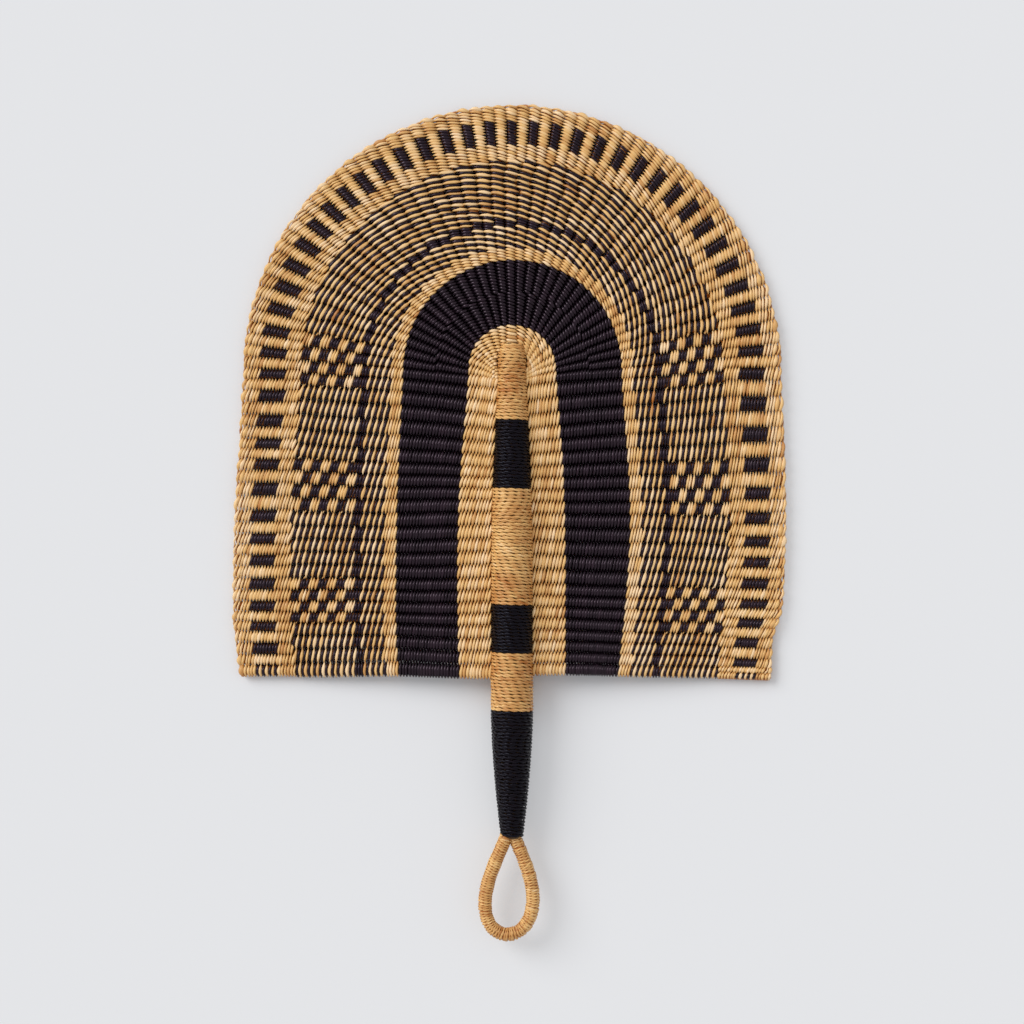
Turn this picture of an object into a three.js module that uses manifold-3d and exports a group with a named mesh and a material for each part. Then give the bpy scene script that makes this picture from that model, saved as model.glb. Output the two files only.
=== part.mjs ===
// A hand fan woven from straw: an arch-shaped panel of weft bands twined round straw ribs,
// a wrapped handle that the lower ribs pass through, and a wrapped hanging loop at its end.
// It lies on its back: +Z is up and out of the front, +Y runs from the loop to the arch.
import * as THREE from "three";
import { mergeVertices } from "three/addons/utils/BufferGeometryUtils.js";
import Module from "manifold-3d";

const wasm = await Module();
wasm.setup();

// Driving dimensions, in millimetres, with the arch centre at x = 0, y = 0.

// Panel
const RIM_RADIUS = 148.5; // arch centre to the outer edge of the weave
const SIDE_LENGTH = 166.4; // straight side, from the arch centre to the bottom edge
const INNER_RADIUS = 26; // where the natural weave round the handle ends
const BLACK_RADIUS = 62; // where the black weave ends
const PATTERN_RADIUS = 117; // where the two-tone weave ends and the border begins
const CORNER_TUCK = 6; // how far the bottom corners of the rim are drawn in
const TUCK_LENGTH = 42; // length of side over which they are drawn in
const EDGE_SCALLOP = 0.8; // depth of the dips between rib ends along the rim
const WEFT = 1.35; // thickness of one weft strand
const SPINE_HEIGHT = 13; // handle axis above the surface that the fan lies on
const FOOT_CUT = 0.3; // depth of the flats pressed under the rim where the fan lies on it

// Ribs
const CROSS_RIBS = 24; // ribs that run from side to side through the handle
const ARCH_SPACES = 22; // spaces between the ribs that fan out round the arch, an even number
const RIB_SIZE = 3.5; // rib bundle, from corner to corner
const RIB_WEB = 0.8; // least weft left between neighbouring ribs
const TONGUE = 1.1; // thickness of a rib pressed between two turns of wrapping
const RIB_COVER = 2; // weft over the rib ends along the rim

// Handle
const TIP_RADIUS = 8.2; // wrapped handle at the arch centre
const FULL_RADIUS = 11.8; // wrapped handle where it is thickest
const NECK_RADIUS = 6.3; // wrapped handle where the loop leaves it
const SWELL_LENGTH = 110; // from the arch centre down to the full thickness
const TIP_TURNS = 4; // turns of wrapping above the arch centre
const TIP_CAP = 2; // bare core above the first turn
const NOSE_RADIUS = 4; // flat end of the core inside the panel
const WRAP_THICKNESS = 1.7; // wrapping strand, measured out from the core
const TURN_GAP = 0.5; // gap between neighbouring turns
const WRAP_END = 0.3; // share of a turn, counted from the right side, where a wrapping ends

// Hanging loop
const LOOP_LENGTH = 57; // from the end of the handle to the outside of the bend
const LOOP_WIDTH = 34; // across the outside of the bend
const LOOP_BOW = 2.6; // how far the legs curve out between the neck and the bend
const LOOP_RADIUS = 3.6; // wrapped loop cord
const LOOP_WRAP = 1; // loop wrapping, measured out from the loop's core
const LOOP_TURNS = 24; // turns of wrapping round the loop
const LOOP_TURN_GAP = 0.6; // gap between those turns, along the middle of the cord

const CLEARANCE = 0.3; // gap between pieces that touch on the real fan

// Facets: steps in one turn of wrapping, which the core under it shares
const HANDLE_SIDES = 10;
const LOOP_SIDES = 8;
const LOOP_LEG_STEPS = 6;
const LOOP_BEND_STEPS = 14;

// Handle wrappings in order from the tip, with their turns
const WRAPPINGS = [
  { name: "wrap_natural_tip", turns: 11, straw: "natural" },
  { name: "wrap_black_upper", turns: 11, straw: "black" },
  { name: "wrap_natural_middle", turns: 18, straw: "natural" },
  { name: "wrap_black_lower", turns: 7, straw: "black" },
  { name: "wrap_natural_lower", turns: 9, straw: "natural" },
  { name: "wrap_black_grip", turns: 20, straw: "black" },
];

// Sizes that follow from those
const RIB_PITCH = SIDE_LENGTH / (CROSS_RIBS - 0.5); // the first lies at the arch centre
const TURN_PITCH = RIB_PITCH / 2; // one turn passes on each side of every cross rib
const RIB_ANGLE = Math.PI / ARCH_SPACES;
const SEAM = CLEARANCE / 2; // how far a band stops short of the line where it meets the next
const TIP_TOP = TIP_TURNS * TURN_PITCH;
const TIP_LENGTH = TIP_TOP + TIP_CAP;
const ALL_TURNS = WRAPPINGS.reduce((sum, wrapping) => sum + wrapping.turns, 0);
const GRIP_LENGTH = WRAPPINGS.at(-1).turns * TURN_PITCH;
const HANDLE_END = TIP_TOP - ALL_TURNS * TURN_PITCH;
const GRIP_START = HANDLE_END + GRIP_LENGTH;
const CREST = RIB_SIZE / 2 + WEFT; // half thickness of the weave over a rib
const BORDER_HEIGHT = CREST + FOOT_CUT; // middle of the weave where the border begins
const RIM_HEIGHT = CREST - FOOT_CUT; // middle of the weave at the rim
const LOOP_END = HANDLE_END - LOOP_LENGTH;
const LOOP_CORE_RADIUS = LOOP_RADIUS - LOOP_WRAP - CLEARANCE;

// Materials

function straw(colour, roughness) {
  return new THREE.MeshStandardMaterial({ color: colour, roughness, metalness: 0 });
}

const STRAWS = {
  natural: straw("#d8a866", 0.62),
  black: straw("#1d191d", 0.5),
  twoTone: straw("#7d6242", 0.6),
  stalk: straw("#c39a5e", 0.75),
};

// Solids

// A closed body put together from corner points and flat faces, wound so that they face out.
class Shell {
  positions = [];
  index = [];

  corners(points) {
    const first = this.positions.length / 3;
    this.positions.push(...points.flatMap((point) => point.toArray()));
    return points.map((_, i) => first + i);
  }

  face(...corners) {
    for (let i = 1; i + 1 < corners.length; i++) {
      this.index.push(corners[0], corners[i], corners[i + 1]);
    }
  }

  // Walls between two rings of corners, which go round counter-clockwise seen from the second.
  walls(ring, next) {
    ring.forEach((corner, i) => {
      const j = (i + 1) % ring.length;
      this.face(corner, ring[j], next[j], next[i]);
    });
  }

  // Walls of a channel from a ring to the next, which face into it and fold as a rib's do.
  channel(ring, next) {
    ring.forEach((corner, i) => {
      const j = (i + 1) % ring.length;
      this.face(corner, next[i], next[j], ring[j]);
    });
  }

  geometry() {
    const geometry = new THREE.BufferGeometry();
    geometry.setAttribute("position", new THREE.Float32BufferAttribute(this.positions, 3));
    geometry.setIndex(this.index);
    return geometry;
  }
}

// Closed body through a list of rings of points, each ring with as many points as the next.
function loft(rings) {
  const shell = new Shell();
  const corners = rings.map((ring) => shell.corners(ring));
  corners.slice(1).forEach((ring, i) => shell.walls(corners[i], ring));
  shell.face(...corners[0].toReversed());
  shell.face(...corners.at(-1));
  return shell.geometry();
}

// A closed geometry as a solid that can be cut.
function solid(geometry) {
  const bare = geometry.clone();
  bare.deleteAttribute("normal");
  bare.deleteAttribute("uv");
  const merged = mergeVertices(bare, 1e-4);
  const mesh = new wasm.Mesh({
    numProp: 3,
    vertProperties: merged.attributes.position.array,
    triVerts: new Uint32Array(merged.index.array),
  });
  return new wasm.Manifold(mesh);
}

// The geometry left when every cutter is taken out of a body.
function cut(geometry, cutters) {
  const left = cutters.reduce((body, cutter) => body.subtract(solid(cutter)), solid(geometry));
  const mesh = left.getMesh();
  const result = new THREE.BufferGeometry();
  result.setAttribute("position", new THREE.BufferAttribute(mesh.vertProperties, 3));
  result.setIndex(new THREE.BufferAttribute(mesh.triVerts, 1));
  return result;
}

// Shape of the handle

// Outside radius of the wrapped handle: a blunt tip, a long swell and a tapered grip.
function handleRadius(y) {
  if (y > 0) return TIP_RADIUS * Math.pow(Math.max(0, 1 - Math.pow(y / TIP_LENGTH, 4)), 1 / 4);
  if (y < GRIP_START) {
    const along = (GRIP_START - y) / GRIP_LENGTH;
    return FULL_RADIUS - (FULL_RADIUS - NECK_RADIUS) * Math.pow(along, 1.6);
  }
  const swell = Math.min(1, -y / SWELL_LENGTH);
  return TIP_RADIUS + (FULL_RADIUS - TIP_RADIUS) * Math.sin((swell * Math.PI) / 2);
}

function coreRadius(y) {
  return handleRadius(y) - WRAP_THICKNESS - CLEARANCE;
}

// Shape of the panel

// A station is a line across the panel, square to the weft: level on the sides, where its
// place is a height y, and radial round the arch, where its place is an angle.
function sideStation(side, y) {
  return { side, y, swell: handleRadius(y) - TIP_RADIUS, start: TIP_RADIUS + CLEARANCE };
}

function archStation(angle) {
  const across = Math.abs(Math.cos(angle)) / (TIP_RADIUS + CLEARANCE);
  const along = Math.abs(Math.sin(angle)) / (TIP_LENGTH + CLEARANCE);
  const start = Math.pow(Math.pow(across, 4) + Math.pow(along, 4), -1 / 4);
  return { angle, start };
}

// How much the rim is drawn in at a height on the side, as a share of its radius.
function tuck(y) {
  const into = Math.max(0, (TUCK_LENGTH - SIDE_LENGTH - y) / TUCK_LENGTH);
  return 1 - (CORNER_TUCK / RIM_RADIUS) * into * into;
}

// Middle of the weave above the surface: it falls from the spine to a nearly level border.
function middleHeight(radius) {
  if (radius > PATTERN_RADIUS) {
    const share = (radius - PATTERN_RADIUS) / (RIM_RADIUS - PATTERN_RADIUS);
    return BORDER_HEIGHT + (RIM_HEIGHT - BORDER_HEIGHT) * share;
  }
  const share = (radius - TIP_RADIUS) / (PATTERN_RADIUS - TIP_RADIUS);
  return SPINE_HEIGHT + (BORDER_HEIGHT - SPINE_HEIGHT) * share;
}

// The point of a station at a radius, and the direction that the weft crosses it there.
function stationPoint(station, radius) {
  const z = middleHeight(radius);
  if (station.angle === undefined) {
    const x = station.side * (radius + station.swell) * tuck(station.y);
    return new THREE.Vector3(x, station.y, z);
  }
  const direction = new THREE.Vector3(Math.cos(station.angle), Math.sin(station.angle), 0);
  return direction.multiplyScalar(radius).setZ(z);
}

function weftDirection(station) {
  if (station.angle === undefined) return new THREE.Vector3(0, station.side, 0);
  return new THREE.Vector3(-Math.sin(station.angle), Math.cos(station.angle), 0);
}

// Stations along the weft from the bottom right corner, over the arch, to the bottom left,
// with the arch split into a number of spaces: ribs lie at the odd stations, and the weft
// dips between ribs at the even ones.
function weftStations(spaces) {
  const halves = 2 * CROSS_RIBS - 1;
  const heights = Array.from({ length: halves }, (_, i) => (-(i + 1) * RIB_PITCH) / 2);
  const angles = Array.from({ length: 2 * spaces + 1 }, (_, i) => (i * Math.PI) / (2 * spaces));
  return [
    ...heights.toReversed().map((y) => sideStation(1, y)),
    ...angles.map(archStation),
    ...heights.map((y) => sideStation(-1, y)),
  ];
}

// Ribs

// Half width of a rib at a radius, kept narrow enough to leave weft beside it.
function ribHalfWidth(station, radius) {
  if (radius <= station.start) return TONGUE / 2;
  const space = station.y < 0 ? RIB_PITCH / 2 : radius * Math.tan(RIB_ANGLE / 2);
  return Math.min(RIB_SIZE / 2, space - RIB_WEB / 2 - CLEARANCE * Math.SQRT2);
}

// Diamond section of a rib at a radius, grown all round for the channel that it lies in.
function ribRing(station, radius, growth, overrun = 0) {
  const middle = stationPoint(station, radius);
  const outward = stationPoint(station, radius + 1).sub(middle).setZ(0).normalize();
  const corner = growth * Math.SQRT2;
  const across = weftDirection(station).multiplyScalar(ribHalfWidth(station, radius) + corner);
  const up = new THREE.Vector3(0, 0, RIB_SIZE / 2 + corner);
  middle.addScaledVector(outward, overrun);
  return [across, up, across.clone().negate(), up.clone().negate()].map((arm) =>
    arm.add(middle),
  );
}

// Sections of a rib from its inner end, at the handle or in the weave, out to the rim.
function ribRings(station, growth, fromWeave = false) {
  const inside = fromWeave ? [INNER_RADIUS + SEAM] : [station.start, INNER_RADIUS];
  const radii = [...inside, BLACK_RADIUS, PATTERN_RADIUS];
  const end = ribRing(station, RIM_RADIUS - RIB_COVER, growth, growth);
  return [...radii.map((radius) => ribRing(station, radius, growth)), end];
}

// A rib that crosses the handle from the left side of the panel to the right.
function crossRib(y, growth = 0) {
  const left = ribRings(sideStation(-1, y), growth).reverse();
  const right = ribRings(sideStation(1, y), growth);
  const turned = left.map(([back, up, front, down]) => [front, up, back, down]);
  return loft([...turned, ...right]);
}

// A rib of the arch: every second one starts at the handle's tip, and the others are let in
// between them where the black weave begins.
function archRib(space) {
  return loft(ribRings(archStation(space * RIB_ANGLE), 0, space % 2 === 1));
}

const CROSS_RIB_HEIGHTS = Array.from({ length: CROSS_RIBS }, (_, i) => -i * RIB_PITCH);
const ARCH_RIB_PLACES = Array.from({ length: ARCH_SPACES - 1 }, (_, i) => i + 1);

// Weave

// Corners of the weave at a station: near and far ends of its underside and of its front.
function weaveRing(station, onRib, inner, outer) {
  const half = new THREE.Vector3(0, 0, onRib ? CREST : WEFT);
  const near = stationPoint(station, inner ?? station.start);
  const far = stationPoint(station, outer);
  return [near.clone().sub(half), near.add(half), far.clone().add(half), far.sub(half)];
}

// End of the weave round one rib, seen from outside: the dips on both sides of the rib, the
// ridge over it, and the mouth of its channel.
function weaveEnd(shell, [leftUnder, left], [ridgeUnder, ridge], [rightUnder, right], mouth) {
  const [mouthRight, mouthTop, mouthLeft, mouthUnder] = mouth;
  shell.face(left, mouthLeft, mouthTop, ridge);
  shell.face(ridge, mouthTop, mouthRight, right);
  shell.face(right, mouthRight, rightUnder);
  shell.face(rightUnder, mouthRight, mouthUnder, ridgeUnder);
  shell.face(ridgeUnder, mouthUnder, mouthLeft, leftUnder);
  shell.face(leftUnder, mouthLeft, left);
}

// A band of weave between two radii, ridged over the ribs, with a channel for each of them.
// The innermost band has the handle's outline as its inner edge, and half of the arch's ribs.
// The channels of the outermost band are closed at the rim, which dips between the ribs.
function weaveBand(inner, outer, atRim = false) {
  const shell = new Shell();
  const stations = weftStations(inner === undefined ? ARCH_SPACES / 2 : ARCH_SPACES);
  const rings = stations.map((station, place) => {
    const onRib = place % 2 === 1;
    const dip = atRim && !onRib ? EDGE_SCALLOP : 0;
    return shell.corners(weaveRing(station, onRib, inner, outer - dip));
  });
  rings.slice(1).forEach(([nearUnder, near, far, farUnder], i) => {
    const before = rings[i];
    shell.face(before[1], before[2], far, near);
    shell.face(before[0], nearUnder, farUnder, before[3]);
  });
  shell.face(...rings[0].toReversed());
  shell.face(...rings.at(-1));
  for (let place = 1; place < stations.length; place += 2) {
    const cell = rings.slice(place - 1, place + 2);
    const nearEnds = cell.map(([nearUnder, near]) => [nearUnder, near]);
    const farEnds = cell.map(([, , far, farUnder]) => [farUnder, far]);
    const station = stations[place];
    const mouth = shell.corners(ribRing(station, inner ?? station.start, CLEARANCE));
    const reach = atRim ? RIM_RADIUS - RIB_COVER : outer;
    const end = shell.corners(ribRing(station, reach, CLEARANCE, atRim ? CLEARANCE : 0));
    const [right, top, left, under] = mouth;
    weaveEnd(shell, ...nearEnds.toReversed(), [left, top, right, under]);
    shell.channel(mouth, end);
    if (atRim) {
      shell.face(...end.toReversed());
      const [[leftUnder, leftFront], [ridgeUnder, ridge], [rightUnder, rightFront]] = farEnds;
      shell.face(leftUnder, ridgeUnder, ridge, leftFront);
      shell.face(ridgeUnder, rightUnder, rightFront, ridge);
    } else {
      weaveEnd(shell, ...farEnds, end);
    }
  }
  return shell.geometry();
}

// A slab under the surface that the fan lies on, which presses the ridges flat along the rim.
function ground() {
  const size = 3 * (RIM_RADIUS + SIDE_LENGTH);
  return new THREE.BoxGeometry(size, size, CREST).translate(0, 0, -CREST / 2);
}

// Wrapping

// Sections of a strand wound round a path from one turn to another: a low ridge with its two
// feet on the core. A place is a distance along the path, and point() turns it about the path.
function windingRings({ from, to, sides, place, width, inner, outer, point }) {
  const steps = Math.ceil((to - from) * sides);
  const rings = [];
  for (let step = 0; step <= steps; step++) {
    const turn = Math.min(to, from + step / sides);
    const angle = turn * 2 * Math.PI;
    const middle = place(turn);
    const ahead = middle + width(turn) / 2;
    const behind = middle - width(turn) / 2;
    rings.push([
      point(ahead, inner(ahead), angle),
      point(middle, outer(middle), angle),
      point(behind, inner(behind), angle),
    ]);
  }
  return rings;
}

// Least distance between points of a winding that lie more than half a turn apart.
function leastGap(rings, sides) {
  let least = Infinity;
  rings.forEach((ring, step) => {
    const others = rings.slice(step + sides / 2 + 1, step + 2 * sides).flat();
    ring.forEach((point) => {
      others.forEach((other) => {
        least = Math.min(least, point.distanceTo(other));
      });
    });
  });
  return least;
}

function wind(name, options) {
  const rings = windingRings(options);
  const gap = leastGap(rings, options.sides);
  console.log(`${name}: ${options.turns} turns, least gap between turns ${gap.toFixed(2)} mm`);
  return loft(rings);
}

// Distance of a turn below the arch centre: square across the front, one step down at the back.
function turnDepth(turn) {
  const whole = Math.floor(turn);
  const back = Math.max(0, 2 * (turn - whole) - 1);
  const step = back * back * (3 - 2 * back);
  return (whole + 0.5 + step) * TURN_PITCH - TIP_TOP;
}

// Width of a turn: pressed narrow between the ribs at both sides, wide on the front and back.
function turnWidth(turn) {
  const pressed = TURN_PITCH - TONGUE - 2 * CLEARANCE;
  const wide = TURN_PITCH - TURN_GAP;
  return pressed + (wide - pressed) * Math.min(1, 2 * Math.abs(Math.sin(turn * 2 * Math.PI)));
}

function handlePoint(depth, radius, angle) {
  return new THREE.Vector3(
    radius * Math.cos(angle),
    -depth,
    SPINE_HEIGHT + radius * Math.sin(angle),
  );
}

// One colour of handle wrapping. The strand of the next colour carries on from its end at the
// back; the first begins and the last ends where a turn lies square.
function handleWrapping(name, firstTurn, turns) {
  const nextTurn = firstTurn + turns;
  const end = (2 * CLEARANCE) / (2 * Math.PI * NECK_RADIUS);
  return wind(name, {
    turns,
    from: firstTurn === 0 ? 0 : firstTurn - WRAP_END,
    to: nextTurn === ALL_TURNS ? nextTurn - 0.5 : nextTurn - WRAP_END - end,
    sides: HANDLE_SIDES,
    place: turnDepth,
    width: turnWidth,
    inner: (depth) => coreRadius(-depth) + CLEARANCE,
    outer: (depth) => handleRadius(-depth),
    point: handlePoint,
  });
}

// Stalks in the middle of the handle, with a slot for each rib that crosses them.
function handleCore(slots) {
  const swell = [0, 0.2, 0.45, 0.7, 1].map((share) => -share * SWELL_LENGTH);
  const grip = [0, 0.3, 0.55, 0.75, 0.9, 1].map((share) => GRIP_START - share * GRIP_LENGTH);
  const heights = [TIP_TOP, TIP_TOP / 2, ...swell, ...grip].reverse();
  const profile = [
    new THREE.Vector2(0, HANDLE_END),
    ...heights.map((y) => new THREE.Vector2(coreRadius(y), y)),
    new THREE.Vector2(NOSE_RADIUS, TIP_LENGTH),
    new THREE.Vector2(0, TIP_LENGTH),
  ];
  const core = new THREE.LatheGeometry(profile, HANDLE_SIDES, Math.PI / 2);
  return cut(core.translate(0, 0, SPINE_HEIGHT), slots);
}

// Hanging loop

// The loop's path: down the right leg, round the bend and up the left leg, in the plane of
// the handle's axis.
const NECK_OFFSET = LOOP_RADIUS + CLEARANCE;
const BEND_RADIUS = LOOP_WIDTH / 2 - LOOP_RADIUS;
const NECK = new THREE.Vector2(NECK_OFFSET, HANDLE_END - CLEARANCE);
const BEND_CENTRE = new THREE.Vector2(0, LOOP_END + LOOP_WIDTH / 2);
const NECK_TO_BEND = NECK.distanceTo(BEND_CENTRE);
const LEG_LENGTH = Math.sqrt(NECK_TO_BEND ** 2 - BEND_RADIUS ** 2);
const BEND_START =
  NECK.clone().sub(BEND_CENTRE).angle() - Math.acos(BEND_RADIUS / NECK_TO_BEND);
const BEND_TURN = Math.PI + 2 * BEND_START;
const LOOP_PATH = 2 * LEG_LENGTH + BEND_RADIUS * BEND_TURN;

// How far a leg curves out at a distance along the path: most in its lower half.
function legBow(distance) {
  const share = Math.min(distance, LOOP_PATH - distance) / LEG_LENGTH;
  const turn = Math.PI * Math.min(1, Math.max(0, share)) ** 1.25;
  return LOOP_BOW * Math.sin(turn) ** 2;
}

// Middle of the loop cord at a distance along its path, and the way out of the loop there.
function loopPlace(distance) {
  const bent = (distance - LEG_LENGTH) / BEND_RADIUS;
  const angle = BEND_START - Math.min(BEND_TURN, Math.max(0, bent));
  const out = new THREE.Vector3(Math.cos(angle), Math.sin(angle), 0);
  const along = new THREE.Vector3(Math.sin(angle), -Math.cos(angle), 0);
  const straight = distance - LEG_LENGTH - BEND_RADIUS * (BEND_START - angle);
  const middle = new THREE.Vector3(BEND_CENTRE.x, BEND_CENTRE.y, SPINE_HEIGHT)
    .addScaledVector(out, BEND_RADIUS + legBow(distance))
    .addScaledVector(along, straight);
  return { middle, out, along };
}

function loopPoint(distance, radius, angle) {
  const { middle, out } = loopPlace(distance);
  middle.addScaledVector(out, radius * Math.cos(angle));
  middle.z += radius * Math.sin(angle);
  return middle;
}

// Section of the loop's core; at both ends it is cut square to the end of the handle.
function loopRing(distance) {
  const angles = Array.from({ length: LOOP_SIDES }, (_, i) => (i * 2 * Math.PI) / LOOP_SIDES);
  const ring = angles.map((angle) => loopPoint(distance, LOOP_CORE_RADIUS, angle));
  const atEnd = distance === 0 || distance === LOOP_PATH;
  const { along } = loopPlace(distance);
  if (atEnd) ring.forEach((point) => point.addScaledVector(along, (NECK.y - point.y) / along.y));
  return ring;
}

function loopCore() {
  const leg = Array.from({ length: LOOP_LEG_STEPS }, (_, i) => (i * LEG_LENGTH) / LOOP_LEG_STEPS);
  const otherLeg = leg.map((distance) => LOOP_PATH - distance).reverse();
  const bend = Array.from({ length: LOOP_BEND_STEPS + 1 }, (_, i) => i / LOOP_BEND_STEPS);
  const bends = bend.map((share) => LEG_LENGTH + share * BEND_RADIUS * BEND_TURN);
  return loft([...leg, ...bends, ...otherLeg].map(loopRing));
}

function loopWrapping(name) {
  const margin = LOOP_RADIUS / 2;
  const pitch = (LOOP_PATH - 2 * margin) / (LOOP_TURNS + 1);
  return wind(name, {
    turns: LOOP_TURNS,
    from: 0,
    to: LOOP_TURNS,
    sides: LOOP_SIDES,
    place: (turn) => margin + (turn + 0.5) * pitch,
    width: () => pitch - LOOP_TURN_GAP,
    inner: () => LOOP_CORE_RADIUS + CLEARANCE,
    outer: () => LOOP_RADIUS,
    point: loopPoint,
  });
}

// Assembly

const fan = new THREE.Group();

function add(name, geometry, material) {
  const mesh = new THREE.Mesh(geometry, material.clone());
  mesh.name = name;
  fan.add(mesh);
}

function numbered(name, index) {
  return `${name}_${String(index + 1).padStart(2, "0")}`;
}

const slots = CROSS_RIB_HEIGHTS.map((y) => crossRib(y, CLEARANCE));

add("handle_core", handleCore(slots), STRAWS.stalk);
CROSS_RIB_HEIGHTS.forEach((y, i) => add(numbered("cross_rib", i), crossRib(y), STRAWS.stalk));
ARCH_RIB_PLACES.forEach((place, i) => add(numbered("arch_rib", i), archRib(place), STRAWS.stalk));

const innerWeave = weaveBand(undefined, INNER_RADIUS - SEAM);
const blackWeave = weaveBand(INNER_RADIUS + SEAM, BLACK_RADIUS - SEAM);
const twoToneWeave = weaveBand(BLACK_RADIUS + SEAM, PATTERN_RADIUS - SEAM);
const borderWeave = cut(weaveBand(PATTERN_RADIUS + SEAM, RIM_RADIUS, true), [ground()]);
add("weave_natural_inner", innerWeave, STRAWS.natural);
add("weave_black", blackWeave, STRAWS.black);
add("weave_two_tone", twoToneWeave, STRAWS.twoTone);
add("weave_border", borderWeave, STRAWS.natural);

WRAPPINGS.reduce((firstTurn, { name, turns, straw: colour }) => {
  add(name, handleWrapping(name, firstTurn, turns), STRAWS[colour]);
  return firstTurn + turns;
}, 0);
add("loop_core", loopCore(), STRAWS.stalk);
add("loop_wrap", loopWrapping("loop_wrap"), STRAWS.natural);

// The origin lies under the middle of the whole fan, on the surface that it rests on.
const box = new THREE.Box3().setFromObject(fan);
const centre = box.getCenter(new THREE.Vector3());
fan.position.set(-centre.x, -centre.y, -box.min.z);

export default fan;
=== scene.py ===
"""Looks of a twined straw hand fan: every strand of the weave, the handle wrapping and the hanging loop."""

from collections import namedtuple
from math import pi, radians

import bpy
import numpy as np
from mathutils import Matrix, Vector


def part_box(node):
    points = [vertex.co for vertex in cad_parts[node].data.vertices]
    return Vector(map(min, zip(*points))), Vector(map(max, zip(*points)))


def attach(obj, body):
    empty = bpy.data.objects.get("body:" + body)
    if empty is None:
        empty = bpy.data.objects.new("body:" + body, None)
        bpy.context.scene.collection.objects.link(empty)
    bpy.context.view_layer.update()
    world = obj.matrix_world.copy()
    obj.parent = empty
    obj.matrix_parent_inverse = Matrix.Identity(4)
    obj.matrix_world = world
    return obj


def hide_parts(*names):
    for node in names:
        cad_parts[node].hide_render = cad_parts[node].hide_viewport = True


bl_info = {
    "name": "Woven straw hand fan",
    "version": (1, 0, 0),
    "blender": (4, 5, 0),
    "location": "View3D > Sidebar > Straw fan",
    "description": "Twines and wraps the strands of a straw hand fan over its solid model, and lights it",
    "category": "Add Mesh",
}

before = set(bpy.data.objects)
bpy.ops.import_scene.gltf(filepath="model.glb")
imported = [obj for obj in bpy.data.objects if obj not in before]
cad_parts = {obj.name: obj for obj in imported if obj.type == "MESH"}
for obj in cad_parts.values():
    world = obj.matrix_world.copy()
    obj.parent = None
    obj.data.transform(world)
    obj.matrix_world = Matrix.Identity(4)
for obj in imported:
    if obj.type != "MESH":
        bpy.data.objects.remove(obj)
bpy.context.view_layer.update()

MM = 0.001

# Sizes of the solids. The plan's origin is the middle of the arch, on the handle's axis.
RIM_RADIUS = 148.5 * MM
SIDE_LENGTH = 166.4 * MM
INNER_RADIUS = 26 * MM
BLACK_RADIUS = 62 * MM
PATTERN_RADIUS = 117 * MM
SPINE_HEIGHT = 13 * MM
PATTERN_HEIGHT = 3.4 * MM
RIM_HEIGHT = 2.8 * MM
TIP_RADIUS = 8.2 * MM
TIP_LENGTH = 16.16 * MM
TIP_POWER = 4
FULL_RADIUS = 11.8 * MM
NECK_RADIUS = 6.3 * MM
SWELL_LENGTH = 110 * MM
GRIP_START = -184.1 * MM
GRIP_LENGTH = 70.8 * MM
GRIP_POWER = 1.6
HANDLE_END = GRIP_START - GRIP_LENGTH
ARCH_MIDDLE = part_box("weave_border")[1].y - RIM_RADIUS

# Hanging loop. Its two legs are offset at the neck, where one lies higher.
NECK_OFFSET = 2.1 * MM
NECK_SHIFT = -1 * MM
LOOP_START = -253.6 * MM
LOOP_DEPTH = 54 * MM
LOOP_REACH = 13.1 * MM
LOOP_LEAN = -1.6 * MM
LEG_LIFT = 1.1 * MM
LOOP_RADIUS = 3.9 * MM

# How the hand work departs from an even plan: the left side bows out below a waist, both corners are drawn in, the
# right one with a step and a slope at the rim, the rows dip towards the handle where the arch meets the sides, and
# the ribs there still fan upwards.
LEFT_BULGE = 2.1 * MM
LEFT_WAIST = 0.6
LEFT_TUCK = 3.8 * MM
RIGHT_TUCK = 7.4 * MM
RIM_TUCK = 2.1 * MM
RIM_STEP = 5.4 * MM
RIM_SLOPE = 0.046
STRETCH_RIGHT = 0.0243
PINCH = 2.3 * MM
FAN_SLOPE = 0.09
# Further down the sides the ribs sag below an even spacing.
SAG_DROPS = np.array((0, 10, 46, 74, 110, 138, 152, 168)) * MM
SAG_LEFT = np.array((0, 0, 2.8, 2.3, 2.9, -0.5, 0.1, 0.8)) * MM
SAG_RIGHT = np.array((0, 0, 2.9, 2.7, 6.3, 2.9, 0.9, -1.5)) * MM
BORDER_SAG_LEFT = np.array((0, -0.5, 0.2, 2.9, 2.6, 1.7, 2.3, 0)) * MM
BORDER_SAG_RIGHT = np.array((0, 4, 14, 15, 12, 6.8, 5.6, -2.1)) * MM

# How far ribs wander along a row, slowly and from rib to rib, as shares of their space, and rows across it.
SLOW_RIBS, FINE_RIBS, FINE_BORDER_RIBS = 0.07, 0.08, 0.15
SLOW_ROWS = 0.35 * MM

# A zone of the panel: its inner and outer radius, the ribs on each straight side, the rib spaces round the arch,
# and its number of weft rows.
Zone = namedtuple("Zone", "inner outer sides arch rows")
NEAR_HANDLE = Zone(7.6 * MM, INNER_RADIUS, 24, 16, 10)
BLACK_NEAR = Zone(INNER_RADIUS, 44 * MM, 24, 24, 10)
BLACK_FAR = Zone(44 * MM, BLACK_RADIUS, 24, 32, 10)
TWO_TONE = Zone(BLACK_RADIUS, PATTERN_RADIUS, 24, 40, 35)
BORDER = Zone(PATTERN_RADIUS, RIM_RADIUS - 0.9 * MM, 27, 68, 18)

# Rows of the two-tone zone from the inside: four natural rows, two-coloured rows, a black line of two rows, and the
# two-coloured rows that turn to checks in the patches.
THIN_NATURAL = 4
BLACK_LINE = (12, 14)
CHECK_ROW = 14
CHECK_ROWS = 3
# Ribs that each patch of checks covers, counted down the side from the middle of the arch.
PATCHES = ((-2, 1), (7, 10), (16, 19))
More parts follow.
